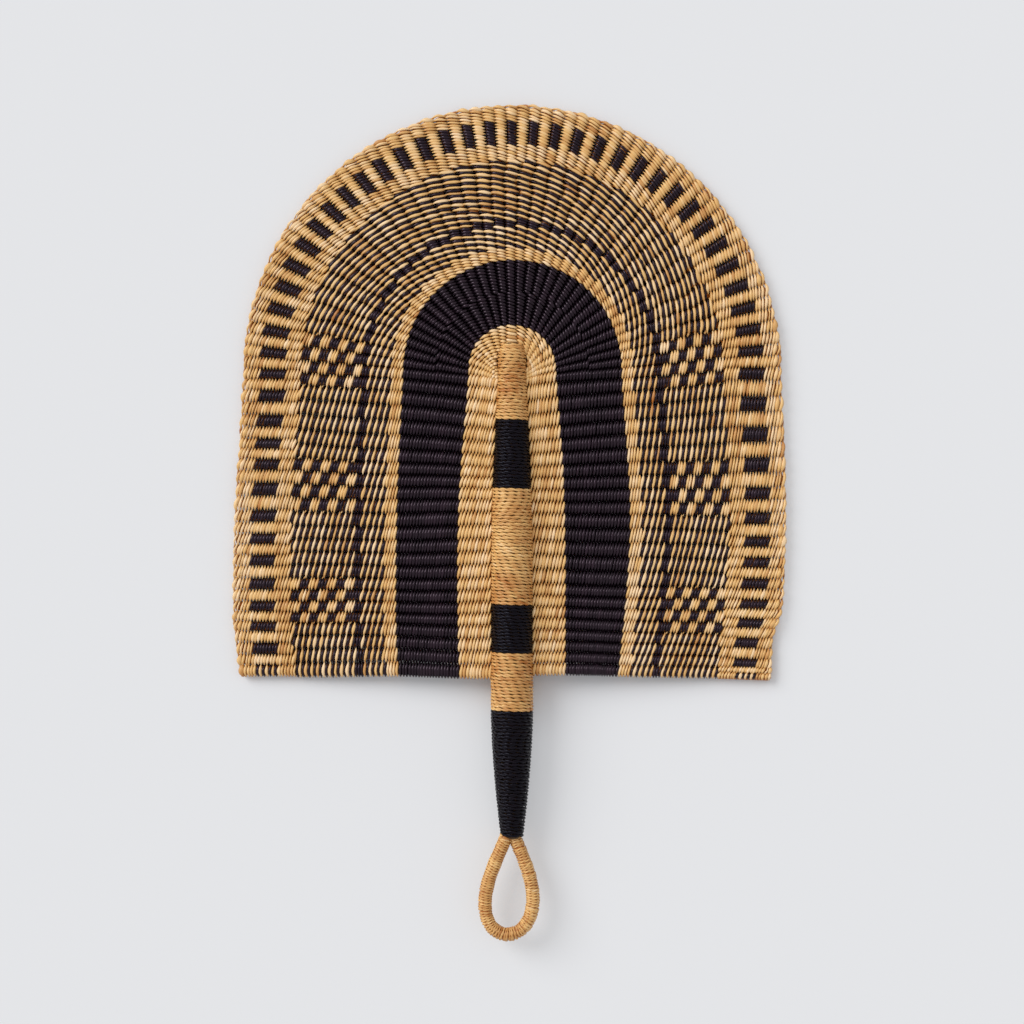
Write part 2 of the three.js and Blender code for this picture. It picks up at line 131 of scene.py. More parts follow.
# Rows of the border from the inside: natural, blocks, natural, and two rows of the rim.
BLOCK_ROWS = (5, 13)
RIM_ROW = 16
RIM_BULGES = (0.25 * MM, 0.6 * MM)

# Where the wrapping changes colour, from the tip down.
WRAP_ENDS = [-26.4 * MM, -63.7 * MM, -127.5 * MM, -152.3 * MM, GRIP_START, HANDLE_END]

# Tone of straw that lies deep inside: painted shade, far darker than the straw's own colour, so that it reads as
# shade where it shows through gaps.
HIDDEN_SHADE_TONE = -2.0


def linear(code):
    """Linear colour of an sRGB hex value: each channel by the sRGB curve."""
    channels = [int(code[i:i + 2], 16) / 255 for i in (1, 3, 5)]
    return tuple(c / 12.92 if c <= 0.04045 else ((c + 0.055) / 1.055) ** 2.4 for c in channels)


def unit(vectors):
    """Vectors over their length."""
    return vectors / np.linalg.norm(vectors, axis=-1, keepdims=True)


def ripple(u, v, seed, waves=5):
    """Smooth unevenness of about -1 to 1: sines of u and v in seeded directions, summed, over half their number."""
    rng = np.random.default_rng(seed)
    directions = rng.normal(size=(waves, 2))
    starts = rng.uniform(0, 2 * pi, waves)
    return sum(np.sin(a * u + b * v + c) for (a, b), c in zip(directions, starts)) / (waves / 2)


def ease(value, start, length):
    """Smooth step from 0 at the start to 1 a length further on: three times the square less twice the cube."""
    share = np.clip((value - start) / length, 0, 1)
    return share * share * (3 - 2 * share)


def bell(value, middle, length):
    """Bell curve: e to minus the square of the distance from the middle, as a share of the length."""
    return np.exp(-((value - middle) / length) ** 2)


def climb(value, start, length, power, most):
    """A power of how far the value is past the start, as a share of the length, from 0 up to the most."""
    return np.clip((value - start) / length, 0, most) ** power


def pair(first, second):
    """A value for each strand of a pair, in the shape of 2 x rows x steps."""
    return np.reshape((first, second), (2, 1, 1))


def handle_radius(y):
    """Radius of the wrapped handle: a fourth-power cap, a quarter-sine swell, and a grip narrowed by power 1.6."""
    cap = TIP_RADIUS * (1 - np.clip(y / TIP_LENGTH, 0, 1) ** TIP_POWER) ** (1 / TIP_POWER)
    swell = TIP_RADIUS + (FULL_RADIUS - TIP_RADIUS) * np.sin(np.clip(-y / SWELL_LENGTH, 0, 1) * pi / 2)
    narrowed = np.clip((GRIP_START - y) / GRIP_LENGTH, 0, 1) ** GRIP_POWER
    grip = FULL_RADIUS - (FULL_RADIUS - NECK_RADIUS) * narrowed
    return np.where(y > 0, cap, np.where(y < GRIP_START, grip, swell))


def middle_height(r):
    """Height of the panel's middle surface: a straight fall from the handle to the border, then a gentler one."""
    camber = SPINE_HEIGHT + (PATTERN_HEIGHT - SPINE_HEIGHT) * (r - TIP_RADIUS) / (PATTERN_RADIUS - TIP_RADIUS)
    rim = PATTERN_HEIGHT + (RIM_HEIGHT - PATTERN_HEIGHT) * (r - PATTERN_RADIUS) / (RIM_RADIUS - PATTERN_RADIUS)
    return np.where(r < PATTERN_RADIUS, camber, rim)


def left_change(r, drop, swell):
    """How far the left side lies outside an even plan.

    A bulge by the cube of the radius, less a waist that takes back part of the handle's swell, and less a tuck that
    grows by the square of the drop.
    """
    share = r / RIM_RADIUS
    black = ease(r, INNER_RADIUS, BLACK_RADIUS - INNER_RADIUS)
    waist = LEFT_WAIST * swell * black * (1 - ease(r, BLACK_RADIUS, 60 * MM))
    tuck = LEFT_TUCK * share * climb(-drop, 124 * MM, 42 * MM, 2, 1.2)
    return LEFT_BULGE * share ** 3 * ease(-drop, 0, 100 * MM) - waist - tuck


def right_change(r, drop):
    """How far the right side lies outside an even plan, which is inwards.

    Inside, a tuck by power 1.5 of the drop. At the rim, a smaller one, a smooth step and a straight slope.
    """
    low = np.maximum(-drop - 70 * MM, 0)
    black = ease(r, INNER_RADIUS, BLACK_RADIUS - INNER_RADIUS)
    inside = RIGHT_TUCK * black * climb(low, 0, 95 * MM, 1.5, np.inf)
    rim = RIM_TUCK * climb(low, 0, 55 * MM, 1.5, 1) + RIM_STEP * ease(low, 52 * MM, 24 * MM)
    rim = rim + RIM_SLOPE * np.maximum(low - 70 * MM, 0)
    at_rim = ease(r, 112 * MM, 36 * MM)
    return -inside * (1 - at_rim) - rim * at_rim


def station(zone, r, t, uneven):
    """Plan of the panel at radius r and rib number t, and the outward direction there.

    Below t = 0 the row climbs the right side, up to t = zone.arch it follows the arch, and above that it goes
    down the left side. Ripples move each rib along the row and each row across, by the place round the panel,
    so that neighbouring zones agree. Then the distance along the row from the nearer end of the arch gives the
    place: a drop down the side, or an angle round the arch. The reach across is the radius and the swell of the
    handle, less a bell-shaped dip at the ends of the arch, and with the changes of the left or right side.
    """
    pitch = SIDE_LENGTH / (zone.sides - 0.5)
    before = np.minimum(t, 0) * pitch
    beyond = np.maximum(t - zone.arch, 0) * pitch
    place = before + np.clip(t / zone.arch, 0, 1) * (pi * BLACK_RADIUS) + beyond
    slow = SLOW_RIBS * ripple(place / (20 * MM), r / (22 * MM), 5)
    fine = FINE_BORDER_RIBS if zone is BORDER else FINE_RIBS
    t = t + uneven * (slow + fine * ripple(place / (3.5 * MM), r / (70 * MM), 7))
    r = r + uneven * SLOW_ROWS * ripple(place / (30 * MM), r / (9 * MM), 11)

    left = t > zone.arch / 2
    ahead = np.where(left, zone.arch - t, t)
    run = np.where(ahead < 0, ahead * pitch, ahead * pi / zone.arch * r)
    if zone is BORDER:
        sags = BORDER_SAG_LEFT, BORDER_SAG_RIGHT
    else:
        sags = SAG_LEFT, SAG_RIGHT
        run = run + FAN_SLOPE * bell(run, -15 * MM, 40 * MM) * (r - BLACK_RADIUS)
    drop = np.minimum(run, 0)
    drop = drop - np.where(left, *(np.interp(-drop, SAG_DROPS, sag) for sag in sags))
    angle = np.maximum(run, 0) / r
    share = r / RIM_RADIUS
    dip = PINCH * bell(drop + angle * BLACK_RADIUS, 0, 45 * MM) * (1 - share ** 2) * ease(r, TIP_RADIUS, 12 * MM)
    swell = handle_radius(drop) - TIP_RADIUS
    reach = r + swell - dip + np.where(left, left_change(r, drop, swell), right_change(r, drop))
    out = np.stack((np.where(left, -1, 1) * np.cos(angle), np.sin(angle), 0 * angle), axis=-1)
    x = reach * out[..., 0]
    y = reach * out[..., 1] + drop * (1 + np.where(left, 0, STRETCH_RIGHT) * share)
    return x, y, out


def sweep(centre, wide, width, height, sides):
    """Rings of an ellipse carried along paths.

    The ring point at angle a is the centre plus width times cos a along the wide direction, made square to the
    path, plus height times sin a along the direction square to both. Also gives each point's place on its
    strand: the distance along it and the two distances across it.
    """
    along = unit(np.gradient(centre, axis=-2))
    wide = unit(wide - along * np.sum(wide * along, axis=-1, keepdims=True))
    thick = np.cross(along, wide)
    angle = np.arange(sides) * 2 * pi / sides
    across = width[..., None] * np.cos(angle)
    over = height[..., None] * np.sin(angle)
    rings = centre[..., None, :] + across[..., None] * wide[..., None, :] + over[..., None] * thick[..., None, :]
    steps = np.linalg.norm(np.diff(centre, axis=-2, prepend=centre[..., :1, :]), axis=-1)
    run = np.broadcast_to(np.cumsum(steps, axis=-1)[..., None], across.shape)
    return rings, np.stack((run, across, over), axis=-1)


def make_piece(name, material, slot, replaced, *tubes):
    """Puts tubes into one smooth mesh that rides on the fan and stands for the solids named.

    Tubes have quads between neighbouring rings, and a flat cap on each end. Each set of them is three arrays: rings
    and places, which end in steps x sides x 3, and tones, which end in steps.
    """
    corners, counts, size = [], [], 0
    for rings, _, _ in tubes:
        index = size + np.arange(rings.size // 3).reshape(-1, *rings.shape[-3:-1])
        turned = np.roll(index, -1, axis=-1)
        quads = np.stack((index[:, :-1], turned[:, :-1], turned[:, 1:], index[:, 1:]), axis=-1)
        caps = np.concatenate((index[:, 0, ::-1], index[:, -1]))
        corners += [quads.reshape(-1), caps.reshape(-1)]
        counts += [np.full(quads.size // 4, 4), np.full(len(caps), rings.shape[-2])]
        size += rings.size // 3
    corners, counts = np.concatenate(corners), np.concatenate(counts)
    points = np.concatenate([rings.reshape(-1, 3) for rings, _, _ in tubes])
    points[:, 1] += ARCH_MIDDLE
    points[:, 2] = np.maximum(points[:, 2], 0)
    places = np.concatenate([places.reshape(-1) for _, places, _ in tubes])
    tones = np.concatenate([np.repeat(tones.reshape(-1), rings.shape[-2]) for rings, _, tones in tubes])

    mesh = bpy.data.meshes.new(name)
    mesh.vertices.add(len(points))
    mesh.vertices.foreach_set("co", points.astype(np.float32).reshape(-1))
    mesh.loops.add(len(corners))
    mesh.loops.foreach_set("vertex_index", corners.astype(np.int32))
    mesh.polygons.add(len(counts))
    mesh.polygons.foreach_set("loop_start", (np.cumsum(counts) - counts).astype(np.int32))
    mesh.polygons.foreach_set("use_smooth", np.ones(len(counts), bool))
    mesh.attributes.new("place", "FLOAT_VECTOR", "POINT").data.foreach_set("vector", places.astype(np.float32))
    mesh.attributes.new("tone", "FLOAT", "POINT").data.foreach_set("value", tones.astype(np.float32))
    mesh.update(calc_edges=True)
    if mesh.validate():
        raise RuntimeError(name + ": the strands gave a broken mesh")
    mesh.materials.append(material)
    piece = bpy.data.objects.new(name, mesh)
    bpy.context.scene.collection.objects.link(piece)
    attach(piece, "root")
    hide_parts(*replaced)


# How a pair of strands lies: half widths of the two strands over a rib, half width between ribs, half thickness
# over a rib and between ribs, how far it stands off the middle surface over a rib, the power that rounds this
# crest, its swing across the row, how far each strand is lifted between ribs, how much darker its tone is painted
# there as painted shade, and how far the strands of the arch keep their width there and join to lines.
Lay = namedtuple("Lay", "wide narrow thin full stand curve swing lift fade join")


def row_lay(sizes, pitch, *colours):
    """Lay of a row of that pitch whose two strands have those colours, N for natural and B for black.

    In a two-coloured pair the natural strand is a quarter wider, both lean a third more and are pointed between ribs,
    and there the natural one lies over the black one. Rows that are all black have rounder crests.
    """
    mixed = len(set(colours)) > 1
    natural = (1.26 if mixed else 1) * sizes.strand_width
    wide = [sizes.black_width if colour == "B" else natural for colour in colours]
    lift = [sizes.tip_lift * mixed * (-1 if colour == "B" else 1) for colour in colours]
    thickness = sizes.strand_thickness
    return Lay(
        wide=pair(*wide) * pitch / 2,
        narrow=(0.1 if mixed else 0.2) * pitch,
        thin=thickness / 2,
        full=0.85 * thickness,
        stand=sizes.crest - thickness / 2,
        curve=0.8 if set(colours) == {"B"} else 0.5,
        swing=(1.34 if mixed else 1) * sizes.lean * pitch,
        lift=pair(*lift),
        # Painted shade: how much darker the tone is painted where the strand sinks between ribs.
        fade=0.8 if mixed else 1.2,
        join=0,
    )


# Sides of a strand, and where its rings stand between two ribs: more of them where the strands cross.
STRAND_SIDES = 6
STEPS_BETWEEN = (0, 0.18, 0.33, 0.43, 0.5, 0.57, 0.67, 0.82)
# A full turn between two ribs: shares of the space and of the turn done by then. Beside a half turn, the pair swings
# less and its crest lies lower between ribs, and soon rises to a rib.
FULL_TURN = (0, 0.43, 0.57, 1), (0, 0.25, 0.75, 1)
FULL_SWING, FULL_CREST, FULL_RISE = 0.7, 0.4, 4.6
# Least width of the bead that closes a row.
BEAD_WIDTH = 0.3
# How much strands differ from rib to rib, and in tone, with more for rough rows and a slow change along the row.
PLACE_SPREAD, CREST_SPREAD, WIDTH_SPREAD, HEIGHT_SPREAD = 0.09, 0.03, 0.1, 0.06
TONE_SPREAD, ROUGH_SPREAD, SLOW_SPREAD = 0.34, 0.08, 0.4
# Share of the crest's height at which a strand has its plain tone. Lower down its tone is painted darker, as
# painted shade, and higher up a little paler, as painted light.
SHADE_HEIGHT = 0.7
# How far the crossings of joined lines wander along the row, in radians.
JOIN_WANDER = 1.2


def twist(fronts, space, share, firm):
    """Angle by which strand one of each row has turned round its partner, and where the pair makes a full turn.

    The strand is in front of a rib where the angle is a whole number of turns, and behind it half a turn on. Between
    two ribs the angle grows by half a turn where the strands change sides, by a hyperbolic tangent of the share of
    the space. Where they don't, it grows by a full turn, half of it close to the middle of the space.
    """
    full = fronts[:, 1:] == fronts[:, :-1]
    growth = np.where(full, 2 * pi, pi)
    start = np.where(fronts[:, :1] > 0, 0, pi)
    turned = np.concatenate((start, start + np.cumsum(growth, axis=1)), axis=1)
    full = full[:, space]
    half_turn = 0.5 + 0.5 * np.tanh(firm * (2 * share - 1)) / np.tanh(firm)
    full_turn = np.interp(share, *FULL_TURN)
    return turned[:, space] + growth[:, space] * np.where(full, full_turn, half_turn), full


def twine(zone, radii, fronts, lay, sizes, seed, span=None, rough=1, bulge=0):
    """Rings, places and tones of both strands of twined rows, as arrays of 2 x rows x steps.

    Each strand turns round its partner by an angle. Its height is the stand-off times a power of the cosine, its
    swing across the row the lean times the sine. It is wide and thin over a rib, and stands on edge between ribs,
    where its tone is painted darker, as painted shade, by how far it sinks below its crest.
    """
    rng = np.random.default_rng(seed)
    first = -zone.sides
    last = zone.arch + zone.sides
    ribs = np.arange(first, last + 1)
    low, high = span or (first + 0.5, last - 0.5)
    t = (ribs[:-1, None] + np.array(STEPS_BETWEEN)).reshape(-1)
    t = np.unique(np.concatenate((t[(t > low) & (t < high)], (low, high))))
    share = t - np.floor(t)
    space = np.floor(t).astype(int) - first

    # Past the last rib at each end a pair makes a half turn, which closes the row.
    fronts = fronts.copy()
    fronts[:, 0] = -fronts[:, 1]
    fronts[:, -1] = -fronts[:, -2]
    angle, full = twist(fronts, space, share, sizes.firm)
    join = lay.join * ease(np.minimum(t, zone.arch - t), 0, 4)
    angle = angle + JOIN_WANDER * join * ripple(t * 0.9, radii[:, None] / (1.2 * MM), seed + 5)
    angle = np.stack((angle, angle + pi))

    # Round the last rib at each end the pair closes to a bead.
    past = np.clip(2 * np.maximum(first + 1 - t, t - (last - 1)), 0, 1)
    ended = np.sqrt(1 - past ** 2)
    over_rib = np.where(past > 0, BEAD_WIDTH + (1 - BEAD_WIDTH) * ended, np.abs(np.cos(pi * share)))
    spread = rng.normal(size=(4, 2, len(radii), len(ribs))) * sizes.uneven * rough
    jitter = spread[..., space] * (1 - share) + spread[..., space + 1] * share
    facing = np.cos(angle)
    swing = lay.swing * np.where(full, FULL_SWING, 1) * np.sin(angle) * (1 - past)
    swing = swing + PLACE_SPREAD * lay.wide * jitter[0]
    low_crest = FULL_CREST + (1 - FULL_CREST) * np.minimum(FULL_RISE * over_rib, 1)
    crest = lay.stand * np.where(full, low_crest, 1) * (1 + CREST_SPREAD * jitter[1])
    stand = crest * np.sign(facing) * np.where(past > 0, ended, np.abs(facing) ** lay.curve)
    narrow = lay.narrow + join * (lay.wide - lay.narrow)
    width = (narrow + (lay.wide - narrow) * over_rib) * (1 + WIDTH_SPREAD * jitter[2])
    height = (lay.full + (lay.thin - lay.full) * over_rib) * (1 + HEIGHT_SPREAD * jitter[3])

    r = radii[None, :, None] + swing + bulge * over_rib
    x, y, out = station(zone, r, np.broadcast_to(t, r.shape), sizes.uneven)
    lift = lay.lift * (1 - over_rib) * (1 - past)
    centre = np.stack((x, y, middle_height(r) + stand + lift), axis=-1)
    rings, places = sweep(centre, out, width, height, STRAND_SIDES)

    # One tone for each length of strand that passes over a rib, and a slower one along the row.
    tones = rng.normal(size=(2, len(radii), len(ribs) + 1))[..., np.round(t).astype(int) - first]
    slow = ripple(t * 0.12, radii[:, None] / (4 * MM), seed + 3)
    tones = (TONE_SPREAD + ROUGH_SPREAD * rough) * tones + SLOW_SPREAD * slow
    # Painted shade: the tone is painted darker as the strand sinks below its crest, and a little paler at the top, as
    # painted light.
    return rings, places, tones + lay.fade * (stand / lay.stand - SHADE_HEIGHT)


def strand_rows(zone):
    """Radii of a zone's rows, evenly spaced, and their pitch."""
    pitch = (zone.outer - zone.inner) / zone.rows
    return zone.inner + (np.arange(zone.rows) + 0.5) * pitch, pitch


def alternating(zone, rows):
    """Strand one in front on every second rib, in all rows alike."""
    ribs = np.arange(-zone.sides, zone.arch + zone.sides + 1)
    return np.broadcast_to(np.where(ribs % 2, 1, -1), (rows, len(ribs)))


def two_tone_fronts():
    """Which strand shows on each rib of the two-tone zone: 1 for the natural one, -1 for the black one.

    The colour changes with every rib and every row, which draws slanting lines from the leaning strands. In a patch
    of checks it changes with every rib and every third row.
    """
    ribs = np.arange(-TWO_TONE.sides, TWO_TONE.arch + TWO_TONE.sides + 1)
    rows = np.arange(TWO_TONE.rows)
    fronts = np.where((rows[:, None] + ribs) % 2, -1, 1)
    down = np.where(ribs < TWO_TONE.arch / 2, -ribs, ribs - TWO_TONE.arch)
    in_patch = np.any([(down >= a) & (down <= b) for a, b in PATCHES], axis=0)
    cell = (rows - CHECK_ROW) // CHECK_ROWS
    checks = np.where((cell[:, None] + down) % 2, -1, 1)
    return np.where((rows[:, None] >= CHECK_ROW) & in_patch, checks, fronts)


# Rib bundles: half width as a share of their space, depth under the strands, and gap at a zone's edges.
BUNDLE_WIDTH = 0.38
BUNDLE_COVER = 0.45 * MM
BUNDLE_GAP = 0.2 * MM
BUNDLE_RINGS, BUNDLE_SIDES = 7, 8


def rib_bundles(sizes, zone):
    """Flattened bundles along each rib of a zone, under the crests of the weave, as tubes.

    They are ellipses that fill three quarters of the space from rib to rib.
    """
    ribs = np.arange(1 - zone.sides, zone.arch + zone.sides)[:, None]
    outer = zone.outer - (0.9 * MM if zone is BORDER else BUNDLE_GAP)
    inner = zone.inner + (-1.2 * MM if zone is NEAR_HANDLE else BUNDLE_GAP)
    r = np.broadcast_to(np.linspace(inner, outer, BUNDLE_RINGS), (len(ribs), BUNDLE_RINGS))
    x, y, out = station(zone, r, np.broadcast_to(ribs, r.shape), sizes.uneven)
    centre = np.stack((x, y, middle_height(r)), axis=-1)
    along = np.stack((-out[..., 1], out[..., 0], out[..., 2]), axis=-1)
    thickness = sizes.crest - sizes.strand_thickness - BUNDLE_COVER
    on_arch = (ribs > 0) & (ribs < zone.arch)
    space = np.where(on_arch, pi * r / zone.arch, SIDE_LENGTH / (zone.sides - 0.5))
    rings, places = sweep(centre, along, BUNDLE_WIDTH * space, np.full(r.shape, thickness), BUNDLE_SIDES)
    if zone is NEAR_HANDLE:
        rings, places = rings[~on_arch[:, 0]], places[~on_arch[:, 0]]
    # Painted shade: the bundles are painted far darker than straw, as they show only deep in the gaps.
    return rings, places, np.full(rings.shape[:2], HIDDEN_SHADE_TONE)


def handle_line(steps=6000):
    """Outline of the wrapped handle from the nose down: radius, height, direction along it, and the length so far.

    The cap is a fourth-power oval, so its radius goes by the root of a cosine and its height by the root of a sine.
    """
    turn = np.linspace(pi / 2, 0, steps)[:-1]
    low = np.linspace(0, HANDLE_END, steps)
    radius = np.concatenate((TIP_RADIUS * np.cos(turn) ** (2 / TIP_POWER), handle_radius(low)))
    height = np.concatenate((TIP_LENGTH * np.sin(turn) ** (2 / TIP_POWER), low))
    slope = unit(np.stack((np.gradient(radius), np.gradient(height)), axis=-1))
    run = np.cumsum(np.hypot(np.diff(radius, prepend=radius[0]), np.diff(height, prepend=height[0])))
    return radius, height, slope, run


# A winding of two strands: depth of their middle in the solid, how far they twist out, their half thickness, swing
# across and half width as shares of half the pitch, how much the width differs, and the spread and level of the tone.
Winding = namedtuple("Winding", "depth out thick swing width differs tones tone")
HANDLE_WRAP = Winding(0.5 * MM, 0.28 * MM, 0.52 * MM, 0.47, 0.58, 0.06, 0.32, -0.7)
LOOP_WRAP = Winding(0.42 * MM, 0.2 * MM, 0.42 * MM, 0.48, 0.6, 0.13, 0.3, -0.45)
# Painted shade: the black wrapping's tone is lowered further, so that the grip looks as dark as it does in shade.
BLACK_WRAP_SHADE_TONE = -1.7
# Points for each turn at first, rings for each float, and the length between differences.
WRAP_POINTS, WRAP_RINGS, WRAP_KNOTS = 80, 4.5, 4 * MM


def wrap_handle(sizes, seed):
    """Two twisted strands wound round the handle, as arrays of 2 x 1 x steps, and the steps where the colour changes.

    Along the outline the winding goes down one pitch for each turn. The strands twist round each other along
    the winding: each swings out by a cosine and across by a sine, as they do in the panel, but hardly out at all.
    Where one lies on the other the pair is narrower, so a slit opens beside it. Colours change at the back.
    """
    rng = np.random.default_rng(seed)
    radius, height, slope, run = handle_line()
    wrap, pitch = HANDLE_WRAP, sizes.wrap_pitch
    nose_start, nose_radius = 0.6 * MM, 0.05 * MM
    down = np.linspace(nose_start + pitch / 2, run[-1] - pitch / 2, int(run[-1] / pitch * WRAP_POINTS))
    girth = 2 * pi / pitch * np.interp(down, run, radius)
    length = np.cumsum(np.hypot(1, girth) * (down[1] - down[0]))
    even = np.linspace(length[0], length[-1], int(length[-1] / (sizes.wrap_float / WRAP_RINGS)))
    down = np.interp(even, length, down)
    ends = np.interp([-y for y in WRAP_ENDS[:-1]], -height, run)
    cuts = np.searchsorted(down, (np.floor(ends / pitch) + 0.5) * pitch)

    knots = np.arange(0, even[-1] + 2 * WRAP_KNOTS, WRAP_KNOTS)
    jitter = np.interp(even, knots, rng.normal(size=len(knots))) * sizes.uneven
    wander = 0.5 * ripple(even / (60 * MM), 0, seed + 2)
    angle = pi * even / sizes.wrap_float + wander
    angle = np.stack((angle, angle + pi))[:, None]
    wide = pitch / 2
    shift = 0.07 * wide * jitter
    across = down + wrap.swing * wide * np.sin(angle) + shift
    out = wrap.out * (np.cos(angle) - 1) - wrap.depth
    dr = np.interp(across, run, slope[:, 0])
    dy = np.interp(across, run, slope[:, 1])
    turn = 2 * pi * down / pitch
    r = np.maximum(np.interp(across, run, radius) - dy * out, nose_radius)
    y = np.interp(across, run, height) + dr * out
    centre = np.stack((r * np.sin(turn), y, SPINE_HEIGHT + r * np.cos(turn)), axis=-1)
    lay = np.stack((dr * np.sin(turn), dy, dr * np.cos(turn)), axis=-1)
    gain = 0.06 * np.abs(np.cos(angle))
    width = wide * (wrap.width + gain) * (1 + wrap.differs * jitter)
    rings, places = sweep(centre, lay, width, np.full(width.shape, wrap.thick), STRAND_SIDES)
    tones = rng.normal(size=(2, 1, int(even[-1] / sizes.wrap_float) + 2))
    tones = tones[..., np.round(even / sizes.wrap_float).astype(int)] * wrap.tones
    slow = 0.25 * ripple(down / (7 * MM), 0, seed + 1)
    tones = tones + slow + wrap.tone
    return (rings, places, tones), [0, *cuts, len(even) - 1]


def loop_line(distance, steps=2000):
    """Middle line of the hanging loop at a distance from its start, its two directions, and its whole length.

    A drop shape in half an angle: across it goes by the sine of twice the angle times its sine, from the neck
    offset that fades by a high odd power of the cosine, and down by the square of the sine. It leans to one side by
    the square of how far down it is. At the neck one leg lies a little over the other. The product of the two sines
    is at most 0.77.
    """
    half = np.linspace(0, pi, steps)
    down = np.sin(half) ** 2
    fading = np.cos(half) ** 13
    across = LOOP_REACH / 0.77 * np.sin(2 * half) * np.sin(half) + NECK_OFFSET * fading
    across = across + NECK_SHIFT + LOOP_LEAN * down ** 2
    line = np.stack((across, LOOP_START - LOOP_DEPTH * down, SPINE_HEIGHT - LEG_LIFT * fading), axis=-1)
    along = unit(np.gradient(line, axis=0))
    run = np.cumsum(np.linalg.norm(np.diff(line, axis=0, prepend=line[:1]), axis=-1))
    middle = np.stack([np.interp(distance, run, line[:, axis]) for axis in range(3)], axis=-1)
    along = unit(np.stack([np.interp(distance, run, along[:, axis]) for axis in range(3)], axis=-1))
    out = unit(np.stack((-along[..., 1], along[..., 0], 0 * along[..., 2]), axis=-1))
    return middle, along, out, run[-1]


# Loop wrapping: bare length at each end, and how far a turn leans along the loop and differs from the next.
LOOP_BARE, TURN_LEAN, TURN_SPREAD = 0.3 * MM, 0.7 * MM, 0.2 * MM
# Length of a float beside the handle's, rings for each turn, and what the width gains outside a bend.
LOOP_FLOAT, LOOP_RINGS, BEND_GAIN = 0.62, 32, 0.12


def wrap_loop(sizes):
    """Two strands wound round the loop's middle line: a leaning helix, whose turns crowd inside the bend.

    As on the handle, they twist round each other along the winding: across it by a sine, and out by a cosine.
    """
    wrap, half = LOOP_WRAP, sizes.loop_pitch / 2
    rng = np.random.default_rng(41)
    total = loop_line(np.zeros(1))[-1] - 2 * LOOP_BARE
    turns = round(total / sizes.loop_pitch)
    around = np.linspace(0, turns, turns * LOOP_RINGS + 1)
    uneven = np.interp(around, np.arange(turns + 1), rng.normal(size=turns + 1)) * sizes.uneven
    first_angle = 0.9
    turn = 2 * pi * around + first_angle
    lean = TURN_LEAN * np.cos(turn) + TURN_SPREAD * uneven
    distance = around * total / turns + LOOP_BARE
    distance = distance + lean * ease(np.minimum(around, turns - around), 0, 2)
    girth = 2 * pi * (LOOP_RADIUS - 0.45 * MM)
    angle = pi * around * girth / (LOOP_FLOAT * sizes.wrap_float)
    wander = 0.8 * ripple(around / 2, 0, 43)
    angle = np.stack((angle + wander, angle + wander + pi))
    middle, along, out, _ = loop_line(distance + wrap.swing * half * np.sin(angle))
    rise = 0.1 * MM * uneven
    radius = LOOP_RADIUS - wrap.depth + rise + wrap.out * (np.cos(angle) - 1)
    normal = out * np.cos(turn)[:, None] + np.cross(along, out) * np.sin(turn)[:, None]
    centre = middle + radius[..., None] * normal
    bent = np.abs(out[..., 0]) < 0.96
    gain = np.where(bent, BEND_GAIN, 0) * np.cos(turn)
    width = half * (wrap.width + gain) * (1 + wrap.differs * uneven)
    rings, places = sweep(centre, along, width, np.full(width.shape, wrap.thick), STRAND_SIDES)
    tones = rng.normal(size=(2, turns + 1))[:, np.floor(around).astype(int)]
    return rings, places, wrap.tones * tones + wrap.tone


def loop_core():
    """A round cord along the loop's middle line, inside the wrapping."""
    distance = np.linspace(0, loop_line(np.zeros(1))[-1], 120)
    middle, _, out, _ = loop_line(distance)
    size = np.full((1, len(distance)), LOOP_RADIUS - 0.75 * MM)
    rings, places = sweep(middle[None], out[None], size, size, 12)
    # Painted shade: the cord is painted far darker than straw, as it shows only in the wrapping's slits.
    return rings, places, np.full(size.shape, HIDDEN_SHADE_TONE)


def add_node(tree, kind, inputs, **values):
    """Adds a shader node with its settings, and its inputs: a socket is linked, anything else is a constant."""
    node = tree.nodes.new("ShaderNode" + kind)
    for key, value in values.items():
        setattr(node, key, value)
    for key, value in inputs.items():
        if isinstance(value, bpy.types.NodeSocket):
            tree.links.new(value, node.inputs[key])
        else:
            node.inputs[key].default_value = value
    return node


